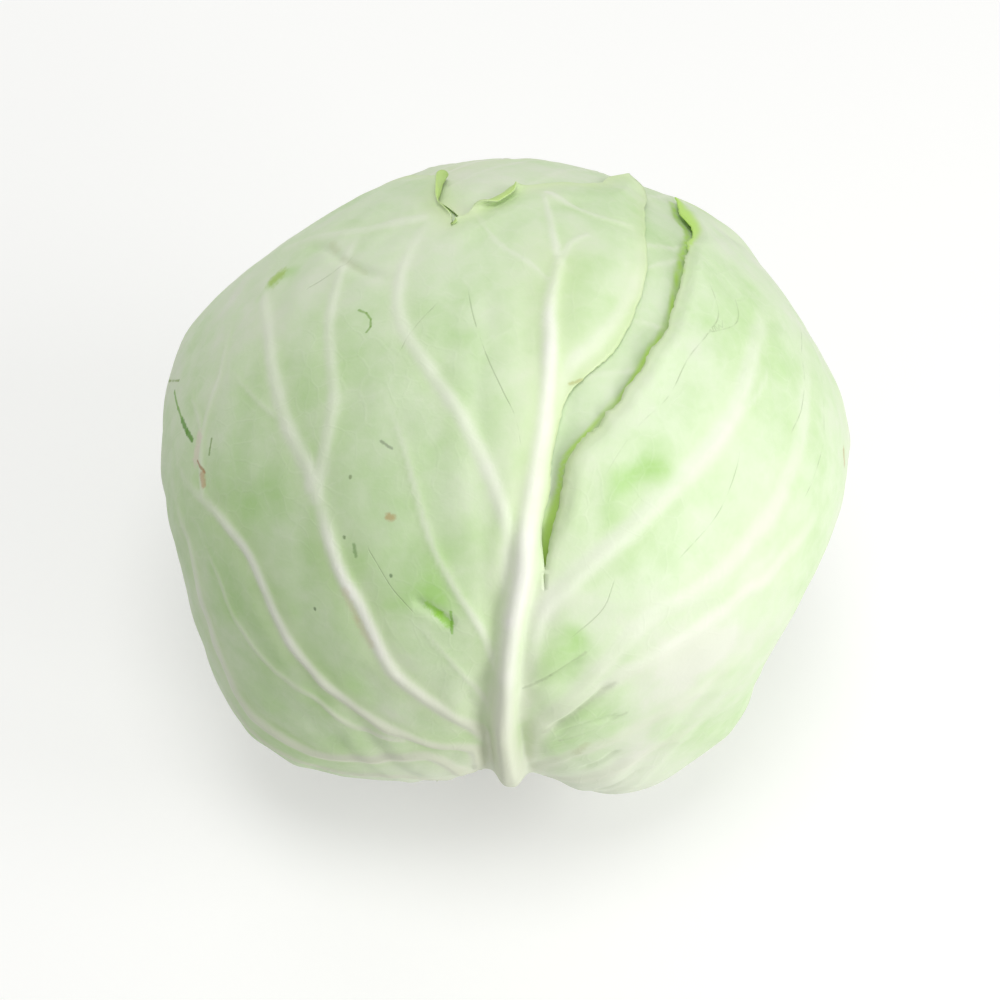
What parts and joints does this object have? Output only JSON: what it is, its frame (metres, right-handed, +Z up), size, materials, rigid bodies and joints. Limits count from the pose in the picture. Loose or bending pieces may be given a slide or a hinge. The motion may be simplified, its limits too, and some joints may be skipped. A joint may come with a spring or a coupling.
{
  "type": "white cabbage",
  "caption": "Whole head of white cabbage lying on its side, with ribbed wrapper leaves, one of them torn, and a cut stem.",
  "frame": {"origin": "on the resting surface, at the middle of the flat spot under the head's centre", "axes": "+Z up, the cut stem points to -Y and 45 degrees down, the crown points to +Y and 45 degrees up, +X to the right of the front leaf's rib seen from the front"},
  "size_m": [0.2144, 0.1979, 0.1907],
  "materials": {
    "heart": "smooth waxy leaf, pale yellow-green",
    "cut_stem": "dry cut pith with a ring of fibres, off-white to tan",
    "inner_leaf": "smooth waxy leaf, pale green with white ribs",
    "outer_leaf": "smooth waxy leaf, pale green with white ribs and veins and small blemishes"
  },
  "bodies": {
    "root": {"heart": "heart", "cut_stem": "cut_stem", "inner_leaf_left": "inner_leaf", "inner_leaf_back": "inner_leaf", "inner_leaf_right": "inner_leaf", "outer_leaf_left": "outer_leaf", "outer_leaf_right": "outer_leaf", "outer_leaf_front": "outer_leaf"}
  },
  "joints": []
}
